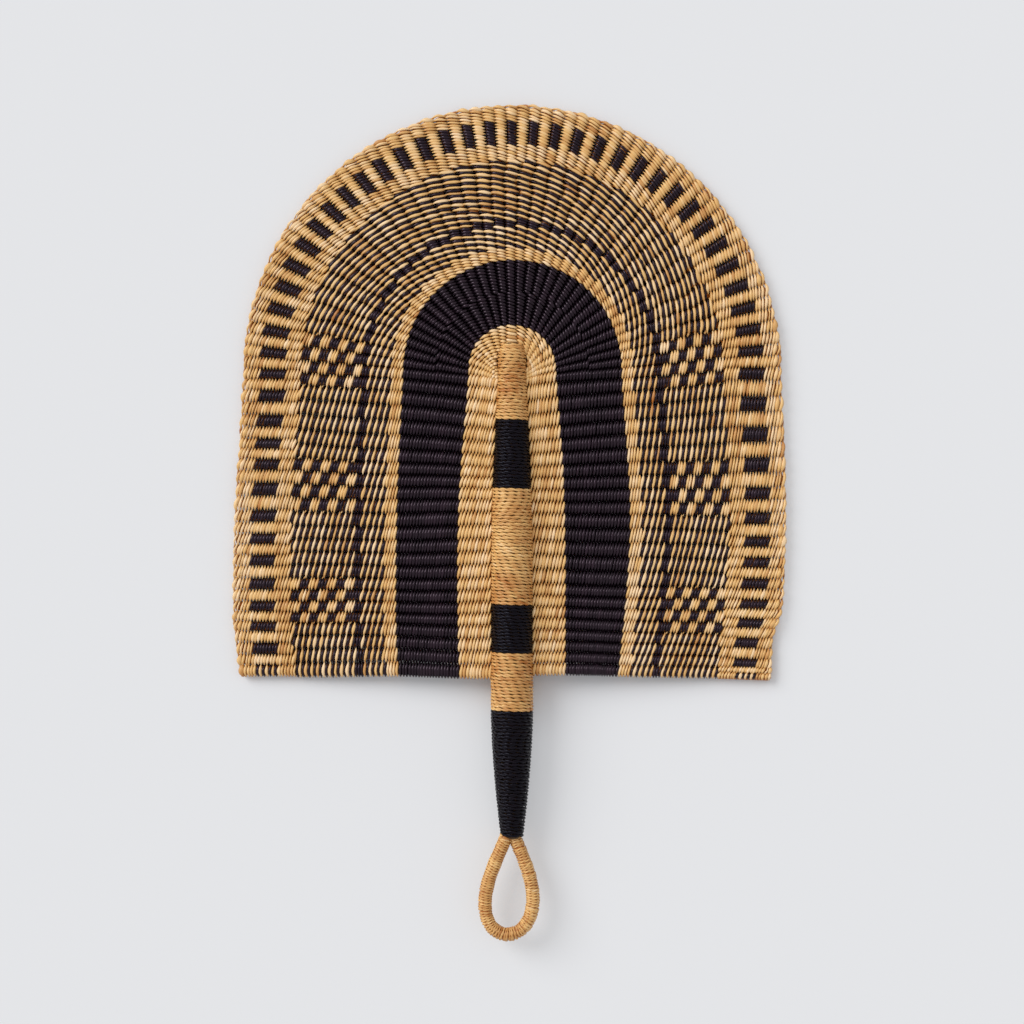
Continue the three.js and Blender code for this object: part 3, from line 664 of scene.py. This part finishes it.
def straw(name, dark, middle, pale, streak, rough, shine, tint):
    """Material of a split straw strand: a tone for each length of strand, part of it painted shade, with fine
    fibres along it.

    Fibres are 0.35 mm wide and about 9 mm long, in the strand's own directions, and colour the strand, roughen it
    and raise it. Coarser blotches of 12 mm come from how evenly the straw ripened or took the dye.
    """
    found = bpy.data.materials.get(name)
    if found:
        return found
    material = bpy.data.materials.new(name)
    material.use_nodes = True
    tree = material.node_tree
    shader = tree.nodes["Principled BSDF"]
    place = add_node(tree, "Attribute", {}, attribute_name="place")
    tone = add_node(tree, "Attribute", {}, attribute_name="tone")
    spot = add_node(tree, "TexCoord", {})
    stretch = add_node(tree, "Mapping", {"Vector": place.outputs["Vector"], "Scale": (110, 2850, 2850)})
    noise = {"Vector": stretch.outputs["Vector"], "Scale": 1.0, "Detail": 3.0, "Roughness": 0.6}
    fibre = add_node(tree, "TexNoise", noise).outputs["Fac"]
    noise = {"Vector": spot.outputs["Object"], "Scale": 1 / (12 * MM), "Detail": 2.0}
    blotch = add_node(tree, "TexNoise", noise).outputs["Fac"]
    limits = {"From Min": -2.6, "From Max": 2.6, "To Min": 0.0, "To Max": 1.0}
    shade = add_node(tree, "MapRange", {"Value": tone.outputs["Fac"], **limits}).outputs["Result"]
    mottle = add_node(tree, "Math", {0: blotch, 1: 0.5, 2: shade}, operation="MULTIPLY_ADD")
    ramp = add_node(tree, "ValToRGB", {"Fac": mottle.outputs["Value"]})
    stops = ramp.color_ramp.elements
    stops[0].position, stops[0].color = 0.35, (*dark, 1)
    stops[1].position, stops[1].color = 1.0, (*pale, 1)
    stops.new(0.75).color = (*middle, 1)
    limits = {"From Min": 0.5, "From Max": 0.78, "To Min": 0.0, "To Max": 0.75}
    streaks = add_node(tree, "MapRange", {"Value": fibre, **limits}).outputs["Result"]
    mixed = {"Factor": streaks, 6: ramp.outputs["Color"], 7: (*streak, 1)}
    colour = add_node(tree, "Mix", mixed, data_type="RGBA")
    limits = {"From Min": 0.3, "From Max": 0.7, "To Min": rough - 0.09, "To Max": rough + 0.12}
    gloss = add_node(tree, "MapRange", {"Value": fibre, **limits})
    raised = add_node(tree, "Bump", {"Height": fibre, "Strength": 0.35, "Distance": 0.12 * MM})
    shader.inputs["Specular IOR Level"].default_value = shine
    shader.inputs["Specular Tint"].default_value = (*linear(tint), 1)
    tree.links.new(colour.outputs[2], shader.inputs["Base Color"])
    tree.links.new(gloss.outputs["Result"], shader.inputs["Roughness"])
    tree.links.new(raised.outputs["Normal"], shader.inputs["Normal"])
    return material


def length_setting(name, description, default, low, high):
    """A setting that is a length, given in millimetres."""
    return bpy.props.FloatProperty(
        name=name, description=description, default=default * MM, min=low * MM, max=high * MM,
        subtype="DISTANCE", unit="LENGTH",
    )


def share_setting(name, description, default, low, high):
    """A setting that is a share of something."""
    return bpy.props.FloatProperty(
        name=name, description=description, default=default, min=low, max=high, subtype="FACTOR",
    )


def colour_setting(name, description, code):
    """A setting that is a colour, given as an sRGB hex value."""
    return bpy.props.FloatVectorProperty(
        name=name, description=description, default=linear(code), size=3, min=0, max=1, subtype="COLOR",
    )


class StrawFanSizes(bpy.types.PropertyGroup):
    """Sizes of the strands, the twist and the wrapping."""

    crest: length_setting("Crest", "Height of a strand's crest over a rib, from the middle surface", 3.1, 2, 6)
    strand_thickness: length_setting(
        "Strand thickness", "Thickness of a strand where it lies over a rib", 1.2, 0.4, 2
    )
    strand_width: share_setting(
        "Strand width", "Width of a natural strand over a rib, as a share of the row", 0.97, 0.5, 1.2
    )
    black_width: share_setting(
        "Black strand width", "Width of a black strand over a rib, as a share of the row", 1.1, 0.5, 1.2
    )
    lean: share_setting(
        "Lean", "How far a strand swings across its row between ribs, as a share of the row", 0.37, 0, 0.6
    )
    tip_lift: length_setting("Tip lift", "How far natural strands lie over black ones where they cross", 0.4, 0, 1)
    firm: bpy.props.FloatProperty(
        name="Twist", description="How suddenly a pair makes a half turn between ribs", default=0.45, min=0.1, max=4,
    )
    uneven: share_setting("Unevenness", "How irregular the hand work is", 1.0, 0, 2)
    wrap_pitch: length_setting("Wrap pitch", "Distance between two turns of the handle's wrapping", 1.87, 1, 4)
    wrap_float: length_setting(
        "Wrap float", "Length over which one strand of the wrapping lies on top", 5, 2, 20
    )
    loop_pitch: length_setting("Loop pitch", "Distance between two turns of the loop's wrapping", 1.45, 1, 4)


class StrawFanColours(bpy.types.PropertyGroup):
    """Colours of the straw and of the floor."""

    natural: colour_setting("Natural straw", "Middle tone of the natural straw", "#E6B975")
    natural_pale: colour_setting("Pale straw", "Palest strands of the natural straw", "#F5D5A8")
    # The ripe straw colour is reached by the brownest strands and, far more often, by painted shade: strands sinking
    # between ribs, and hidden straw.
    natural_ripe_and_shade: colour_setting("Ripe straw", "Brownest strands of the natural straw", "#A65A0A")
    natural_streak: colour_setting("Straw fibres", "Fibres along the natural straw", "#BE7F30")
    black: colour_setting("Black straw", "Middle tone of the dyed straw", "#120A10")
    black_pale: colour_setting("Thin dye", "Strands that took less dye", "#21151D")
    # The deep dye colour is reached by the most deeply dyed strands and, far more often, by painted shade: strands
    # sinking between ribs, hidden bundles and the black wrapping.
    black_deep_dye_and_shade: colour_setting("Deep dye", "Strands that took most dye", "#0B0609")
    floor: colour_setting("Floor", "Floor that the fan lies on", "#E6E7E9")


def settings(context):
    """The fan's sizes and colours in this scene."""
    return context.scene.straw_fan_sizes, context.scene.straw_fan_colours


def natural_straw(colours):
    """Natural split straw, sun-dried: satin, golden, each strand a little paler or browner than the next."""
    return straw(
        "natural_split_straw", colours.natural_ripe_and_shade, colours.natural, colours.natural_pale, colours.natural_streak,
        rough=0.42, shine=0.5, tint="#FFFFFF",
    )


def black_straw(colours):
    """Straw dyed black in a bath: nearly even, with a faint violet cast and a satin line of light on each crest."""
    return straw(
        "black_dyed_straw", colours.black_deep_dye_and_shade, colours.black, colours.black_pale, colours.black_pale,
        rough=0.22, shine=0.33, tint="#FFE4F8",
    )


def shaded_wound_black_straw(colours):
    """Black straw wound tight, its turns close and without crests: painted darker and less shiny than the weave, as
    painted shade, with a faint blue cast in its shine.
    """
    return straw(
        "black_wound_straw_shaded", colours.black_deep_dye_and_shade, colours.black, colours.black_pale, colours.black_pale,
        rough=0.28, shine=0.17, tint="#DDE4FF",
    )


def shaded_dried_stalks():
    """Dried stalks, cut and bundled: matt, and painted dark brown as painted shade, since they show only deep in the
    wrapping's slits; grain of 1 mm across and 25 mm along the handle.
    """
    material = bpy.data.materials.new("dried_stalk_bundle_shaded")
    material.use_nodes = True
    tree = material.node_tree
    spot = add_node(tree, "TexCoord", {})
    grain = add_node(tree, "Mapping", {"Vector": spot.outputs["Object"], "Scale": (1000, 40, 1000)})
    noise = add_node(tree, "TexNoise", {"Vector": grain.outputs["Vector"], "Scale": 1.0, "Detail": 3.0})
    ramp = add_node(tree, "ValToRGB", {"Fac": noise.outputs["Fac"]})
    ramp.color_ramp.elements[0].color = (*linear("#2E1D0C"), 1)
    ramp.color_ramp.elements[1].color = (*linear("#6A4A22"), 1)
    shader = tree.nodes["Principled BSDF"]
    shader.inputs["Roughness"].default_value = 0.75
    tree.links.new(ramp.outputs["Color"], shader.inputs["Base Color"])
    return material


def make_rows(name, slot, colours, node, *rows):
    """Makes one piece of the strands of all those rows, of natural or black straw, that stands for a solid."""
    material = natural_straw(colours) if slot == "natural_straw" else black_straw(colours)
    make_piece(name, material, slot, [node], *rows)


def make_two_coloured(name, part, colours, node, strands):
    """Makes a natural piece of the rows' first strands and a black one of their second strands."""
    for which, colour in enumerate(("natural", "black")):
        strand = [array[which] for array in strands]
        make_rows(name + colour + part, colour + "_straw", colours, node, strand)


class STRAW_FAN_OT_ribs(bpy.types.Operator):
    """Lay the straw bundles that the weft is twined round"""

    bl_idname = "straw_fan.ribs"
    bl_label = "Ribs"

    def execute(self, context):
        sizes, colours = settings(context)
        ribs = [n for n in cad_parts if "_rib_" in n]
        for name, material, zones in (
            ("rib_bundles", natural_straw(colours), (NEAR_HANDLE, TWO_TONE, BORDER)),
            ("rib_bundles_dyed", black_straw(colours), (BLACK_NEAR, BLACK_FAR)),
        ):
            make_piece(name, material, "rib_straw", ribs, *(rib_bundles(sizes, zone) for zone in zones))
        return {"FINISHED"}


class STRAW_FAN_OT_inner_weave(bpy.types.Operator):
    """Twine the natural rows beside the handle"""

    bl_idname = "straw_fan.inner_weave"
    bl_label = "Natural weave at the handle"

    def execute(self, context):
        sizes, colours = settings(context)
        zone = NEAR_HANDLE
        radii, pitch = strand_rows(zone)
        lay = row_lay(sizes, pitch, "N", "N")
        # The tip's reach from the middle of the arch, in the polar form of an oval that is a little larger.
        gap, cover = 0.3 * MM, 2.8 * MM
        angles = np.linspace(0, pi / 2, 400)
        across = (np.cos(angles) / (TIP_RADIUS + gap)) ** TIP_POWER
        ahead = (np.sin(angles) / (TIP_LENGTH + gap)) ** TIP_POWER
        tip = (across + ahead) ** (-1 / TIP_POWER)
        start, end = 0.5 - zone.sides, zone.arch + zone.sides - 0.5
        rows = []
        for row, r in enumerate(radii):
            # A row inside the handle's tip ends under the wrapping, once on each side.
            spans = [(start, end)]
            buried = np.nonzero(tip > r + cover)[0]
            if len(buried):
                stop = angles[buried[0]] / pi * zone.arch
                spans = [(start, stop), (zone.arch - stop, end)]
            for part, span in enumerate(spans):
                seed = 100 + 2 * row + part
                rows.append(twine(zone, radii[row:row + 1], alternating(zone, 1), lay, sizes, seed, span))
        make_rows("inner_weave", "natural_straw", colours, "weave_natural_inner", *rows)
        return {"FINISHED"}


class STRAW_FAN_OT_black_weave(bpy.types.Operator):
    """Twine the black rows, with more ribs let in halfway"""

    bl_idname = "straw_fan.black_weave"
    bl_label = "Black weave"

    def execute(self, context):
        sizes, colours = settings(context)
        for name, zone, seed in (("black_weave_near", BLACK_NEAR, 200), ("black_weave_far", BLACK_FAR, 210)):
            radii, pitch = strand_rows(zone)
            lay = row_lay(sizes, pitch, "B", "B")
            rows = twine(zone, radii, alternating(zone, zone.rows), lay, sizes, seed)
            make_rows(name, "black_straw", colours, "weave_black", rows)
        return {"FINISHED"}


class STRAW_FAN_OT_two_tone_weave(bpy.types.Operator):
    """Twine natural and black strands together: slanting lines, a black line, and patches of checks"""

    bl_idname = "straw_fan.two_tone_weave"
    bl_label = "Two-tone weave"

    def execute(self, context):
        sizes, colours = settings(context)
        zone = TWO_TONE
        radii, pitch = strand_rows(zone)
        lay = row_lay(sizes, pitch, "N", "N")
        lay = lay._replace(narrow=1.4 * lay.narrow)
        thin = twine(zone, radii[:THIN_NATURAL], alternating(zone, THIN_NATURAL), lay, sizes, seed=300)
        make_rows("thin_natural_weave", "natural_straw", colours, "weave_two_tone", thin)
        a, b = BLACK_LINE
        lay = row_lay(sizes, pitch, "B", "B")
        line = twine(zone, radii[a:b], alternating(zone, b - a), lay, sizes, seed=305)
        make_rows("black_line_weave", "black_straw", colours, "weave_two_tone", line)

        # Natural strands end wide enough to join to lines, and those picked for the pattern are a little paler.
        lay = row_lay(sizes, pitch, "N", "B")
        wide, narrow, paler = pair(0.93, 1) * lay.wide, pair(1.4, 1) * lay.narrow, pair(0.15, 0)
        # Painted shade of 0.6 darkens the strands where they sink between ribs.
        lay = lay._replace(wide=wide, narrow=narrow, fade=0.6, join=0.35)
        fronts = two_tone_fronts()
        middle = (b + zone.rows) // 2
        for part, low, high in (("_inner", THIN_NATURAL, a), ("_middle", b, middle), ("_outer", middle, zone.rows)):
            rows, shown = radii[low:high], fronts[low:high]
            rings, places, tones = twine(zone, rows, shown, lay, sizes, seed=310 + low, rough=1.6)
            strands = rings, places, tones + paler
            make_two_coloured("two_tone_", part, colours, "weave_two_tone", strands)
        return {"FINISHED"}


class STRAW_FAN_OT_border_weave(bpy.types.Operator):
    """Twine the border: natural rows, black and natural blocks, natural rows and a thick rim"""

    bl_idname = "straw_fan.border_weave"
    bl_label = "Border"

    def execute(self, context):
        sizes, colours = settings(context)
        zone = BORDER
        radii, pitch = strand_rows(zone)
        plain = row_lay(sizes, pitch, "N", "N")
        wide, narrow, swing = plain.wide, plain.narrow, plain.swing
        # The strands are painted darker where they sink between ribs, as painted shade: by 0.9 here and 1.0 in the
        # rim.
        lay = plain._replace(wide=0.92 * wide, narrow=1.35 * narrow, swing=1.25 * swing, fade=0.9)
        thick = plain._replace(wide=1.1 * wide, narrow=1.5 * narrow, swing=1.15 * swing, fade=1.0)
        thick = thick._replace(thin=1.1 * plain.thin)
        low, high = BLOCK_ROWS
        fronts = alternating(zone, zone.rows).copy()
        # On the last rib at each end, where the strands are tied off, the colours of the blocks mix.
        fronts[:, [1, -2]] = np.where(np.arange(zone.rows) % 2, 1, -1)[:, None]

        def rows(start, end, how, seed, rough):
            return twine(zone, radii[start:end], fronts[start:end], how, sizes, seed, rough=rough)

        make_rows(
            "border_natural", "natural_straw", colours, "weave_border",
            rows(0, low, lay, seed=410, rough=1.5), rows(high, RIM_ROW, lay, seed=420, rough=1.7),
        )
        blocks = rows(low, high, row_lay(sizes, pitch, "N", "B"), seed=400, rough=1.5)
        make_two_coloured("block_", "", colours, "weave_border", blocks)
        rim = []
        for row, bulge in enumerate(RIM_BULGES, RIM_ROW):
            edge = radii[row:row + 1] - 0.3 * bulge
            shown = fronts[row:row + 1]
            rim.append(twine(zone, edge, shown, thick, sizes, seed=430 + row, rough=2.8, bulge=bulge))
        make_rows("rim", "natural_straw", colours, "weave_border", *rim)
        return {"FINISHED"}


class STRAW_FAN_OT_handle(bpy.types.Operator):
    """Wind the natural and black wrapping round the handle"""

    bl_idname = "straw_fan.handle"
    bl_label = "Handle wrapping"

    def execute(self, context):
        sizes, colours = settings(context)
        natural, black = [], []
        strands, cuts = wrap_handle(sizes, seed=500)
        for part, (a, b) in enumerate(zip(cuts[:-1], cuts[1:])):
            rings, places, tones = [array[:, :, a:b + 1] for array in strands]
            if part % 2:
                # The black turns are painted darker still, as painted shade.
                black.append((rings, places, tones + BLACK_WRAP_SHADE_TONE))
            else:
                natural.append((rings, places, tones))
        natural_nodes = "wrap_natural_tip", "wrap_natural_middle", "wrap_natural_lower"
        black_nodes = "wrap_black_upper", "wrap_black_lower", "wrap_black_grip"
        make_piece("handle_wrap_natural", natural_straw(colours), "natural_straw", natural_nodes, *natural)
        make_piece("handle_wrap_black", shaded_wound_black_straw(colours), "black_straw", black_nodes, *black)
        return {"FINISHED"}


class STRAW_FAN_OT_loop(bpy.types.Operator):
    """Wind the hanging loop"""

    bl_idname = "straw_fan.loop"
    bl_label = "Hanging loop"

    def execute(self, context):
        sizes, colours = settings(context)
        material = natural_straw(colours)
        make_piece("loop_cord", material, "core_stalks", ["loop_core"], loop_core())
        make_piece("hanging_loop", material, "natural_straw", ["loop_wrap"], wrap_loop(sizes))
        return {"FINISHED"}


class STRAW_FAN_OT_cores(bpy.types.Operator):
    """Give the stalks inside the handle their finish: painted dark, as painted shade for the wrapping's slits"""

    bl_idname = "straw_fan.cores"
    bl_label = "Handle core"

    def execute(self, context):
        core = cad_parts["handle_core"]
        core.data.materials.clear()
        core.data.materials.append(shaded_dried_stalks())
        return {"FINISHED"}


def floor_mesh():
    """A flat grid, fine near the fan, with an attribute for where the floor glows, as painted light.

    That is nought under the panel. It rises to one by a smooth step of the distance from the rim, and by a longer one
    of the distance below the bottom edge.
    """
    far = np.linspace(0.32, 3, 5)
    across = np.concatenate((-far[::-1], np.linspace(-0.3, 0.3, 121), far))
    x, y = np.meshgrid(across, across)
    index = np.arange(x.size).reshape(x.shape)
    quads = np.stack((index[:-1, :-1], index[:-1, 1:], index[1:, 1:], index[1:, :-1]), axis=-1)
    mesh = bpy.data.meshes.new("floor")
    points = np.stack((x, y, 0 * x), axis=-1).reshape(-1, 3)
    mesh.from_pydata(points.tolist(), [], quads.reshape(-1, 4).tolist())
    high = y - ARCH_MIDDLE
    beside = ease(np.hypot(x, np.maximum(high, 0)), RIM_RADIUS - 5 * MM, 5 * MM)
    below = ease(-high, SIDE_LENGTH, 40 * MM)
    clear = mesh.attributes.new("glow_share", "FLOAT", "POINT")
    clear.data.foreach_set("value", np.maximum(beside, below).astype(np.float32).reshape(-1))
    return mesh


def painted_board(colour):
    """Matt painted board: even and pale, so only the shadow shows on it.

    Away from the fan, part of its pale colour glows whatever the light, seen by the camera and in reflections:
    painted light, which keeps the far shadow faint.
    """
    material = bpy.data.materials.new("matt_painted_board")
    material.use_nodes = True
    tree = material.node_tree
    shader = tree.nodes["Principled BSDF"]
    shader.inputs["Base Color"].default_value = (*colour, 1)
    shader.inputs["Roughness"].default_value = 0.9
    shader.inputs["Specular IOR Level"].default_value = 0.1
    path = add_node(tree, "LightPath", {})
    rays = {0: path.outputs["Is Camera Ray"], 1: path.outputs["Is Glossy Ray"]}
    seen = add_node(tree, "Math", rays, operation="MAXIMUM")
    clear = add_node(tree, "Attribute", {}, attribute_name="glow_share")
    share = add_node(tree, "Math", {0: clear.outputs["Fac"], 1: 0.38}, operation="MULTIPLY")
    both_shares = {0: seen.outputs["Value"], 1: share.outputs["Value"]}
    part = add_node(tree, "Math", both_shares, operation="MULTIPLY")
    # Painted light: the board glows with its own colour where it is clear of the fan.
    glow = add_node(tree, "Emission", {"Color": (*colour, 1), "Strength": 0.98})
    shaders = {"Fac": part.outputs["Value"], 1: shader.outputs["BSDF"], 2: glow.outputs["Emission"]}
    mixed = add_node(tree, "MixShader", shaders)
    tree.links.new(mixed.outputs["Shader"], tree.nodes["Material Output"].inputs["Surface"])
    return material


class STRAW_FAN_OT_stage(bpy.types.Operator):
    """Lay the floor, and set the lights and the camera straight above the fan"""

    bl_idname = "straw_fan.stage"
    bl_label = "Floor, light and camera"

    def execute(self, context):
        _, colours = settings(context)
        scene = context.scene
        mesh = floor_mesh()
        mesh.materials.append(painted_board(colours.floor))
        floor = bpy.data.objects.new("floor", mesh)
        scene.collection.objects.link(floor)

        key = bpy.data.lights.new("key", "SUN")
        key.energy = 1.95
        key.angle = radians(36)
        lamp = bpy.data.objects.new("key", key)
        lamp.rotation_euler = (radians(-28.6), radians(-50.3), 0)
        scene.collection.objects.link(lamp)

        world = bpy.data.worlds.new("studio")
        world.use_nodes = True
        room = world.node_tree.nodes["Background"].inputs
        room["Color"].default_value = (*linear("#FDFDFF"), 1)
        room["Strength"].default_value = 0.645
        scene.world = world

        camera = bpy.data.cameras.new("camera")
        camera.lens = 85
        camera.sensor_width = 36
        place = bpy.data.objects.new("camera", camera)
        # From this height the view is 562.7 mm wide at the height of the panel.
        place.location = (0, 0.0053, 0.008 + 0.5627 * camera.lens / camera.sensor_width)
        scene.collection.objects.link(place)
        scene.camera = place
        scene.view_settings.view_transform = "Standard"
        return {"FINISHED"}


class STRAW_FAN_PT_panel(bpy.types.Panel):
    """The fan's steps, sizes and colours"""

    bl_idname = "STRAW_FAN_PT_panel"
    bl_label = "Straw fan"
    bl_space_type = "VIEW_3D"
    bl_region_type = "UI"
    bl_category = "Straw fan"

    def draw(self, context):
        for step in STEPS:
            self.layout.operator(step.bl_idname)
        for group in settings(context):
            for key in group.bl_rna.properties.keys():
                if key not in ("rna_type", "name"):
                    self.layout.prop(group, key)


STEPS = (
    STRAW_FAN_OT_stage,
    STRAW_FAN_OT_ribs,
    STRAW_FAN_OT_inner_weave,
    STRAW_FAN_OT_black_weave,
    STRAW_FAN_OT_two_tone_weave,
    STRAW_FAN_OT_border_weave,
    STRAW_FAN_OT_handle,
    STRAW_FAN_OT_loop,
    STRAW_FAN_OT_cores,
)
CLASSES = (StrawFanSizes, StrawFanColours, *STEPS, STRAW_FAN_PT_panel)


def register():
    """Makes the steps and the settings known."""
    for item in CLASSES:
        bpy.utils.register_class(item)
    bpy.types.Scene.straw_fan_sizes = bpy.props.PointerProperty(type=StrawFanSizes)
    bpy.types.Scene.straw_fan_colours = bpy.props.PointerProperty(type=StrawFanColours)


def unregister():
    """Takes the steps and the settings away."""
    del bpy.types.Scene.straw_fan_colours
    del bpy.types.Scene.straw_fan_sizes
    for item in reversed(CLASSES):
        bpy.utils.unregister_class(item)


def main():
    """Runs every step."""
    register()
    bpy.ops.straw_fan.stage()
    bpy.ops.straw_fan.ribs()
    bpy.ops.straw_fan.inner_weave()
    bpy.ops.straw_fan.black_weave()
    bpy.ops.straw_fan.two_tone_weave()
    bpy.ops.straw_fan.border_weave()
    bpy.ops.straw_fan.handle()
    bpy.ops.straw_fan.loop()
    bpy.ops.straw_fan.cores()


if __name__ == "__main__":
    main()
